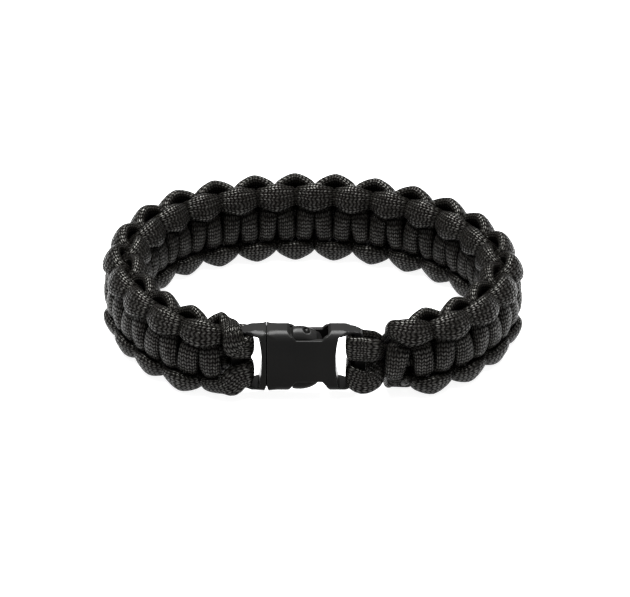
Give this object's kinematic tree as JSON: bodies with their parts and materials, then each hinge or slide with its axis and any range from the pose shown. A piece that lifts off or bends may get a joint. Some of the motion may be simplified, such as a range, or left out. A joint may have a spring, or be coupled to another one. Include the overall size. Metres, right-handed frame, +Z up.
{
  "type": "paracord bracelet",
  "caption": "Woven cord bracelet: two cords knotted in a flat cobra weave round core strands, its ends joined by a side release buckle, standing closed on its edge.",
  "frame": {"origin": "centre of the bounding box in plan, at the surface the bracelet's lower rim stands on", "axes": "+X to the right as seen from the buckle's front, -Y the side of the buckle, which faces the viewer, +Z up, across the band and along the wrist's axis"},
  "size_m": [0.0939, 0.0699, 0.0197],
  "materials": {
    "buckle": "moulded, soft satin",
    "core": "braided nylon sheath",
    "cord": "braided nylon sheath"
  },
  "bodies": {
    "root": {"buckle_socket": "buckle", "buckle_plug": "buckle", "core_cord": "core", "front_cord": "cord", "back_cord": "cord"}
  },
  "joints": []
}
